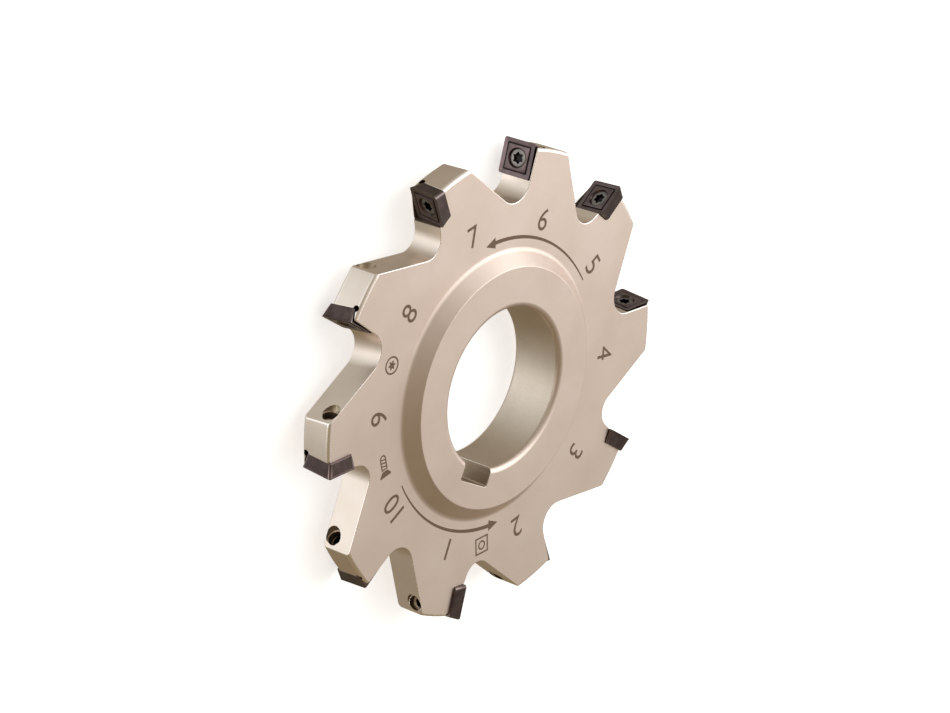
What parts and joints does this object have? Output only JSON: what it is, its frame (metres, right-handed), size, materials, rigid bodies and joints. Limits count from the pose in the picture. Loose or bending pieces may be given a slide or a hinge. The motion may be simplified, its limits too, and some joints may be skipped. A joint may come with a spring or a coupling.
{
  "type": "disc milling cutter",
  "caption": "Side and face milling cutter: thin toothed steel disc with clamped square inserts facing both sides in turn, hub boss, bore and keyway.",
  "frame": {"origin": "centre of the bore, midway between the two hub faces", "axes": "+Z along the bore out of the face that carries the marks, -Y through the keyway"},
  "size_m": [0.0798, 0.0788, 0.01],
  "materials": {
    "plated_steel": "satin, bead blasted and nickel plated",
    "coated_carbide": "dark coated carbide, ground flanks",
    "screw_steel": "blackened steel"
  },
  "bodies": {
    "root": {"cutter_body": "plated_steel", "insert_01": "coated_carbide", "insert_02": "coated_carbide", "insert_03": "coated_carbide", "insert_04": "coated_carbide", "insert_05": "coated_carbide", "insert_06": "coated_carbide", "insert_07": "coated_carbide", "insert_08": "coated_carbide", "insert_09": "coated_carbide", "insert_10": "coated_carbide", "insert_screws": "screw_steel"}
  },
  "joints": []
}
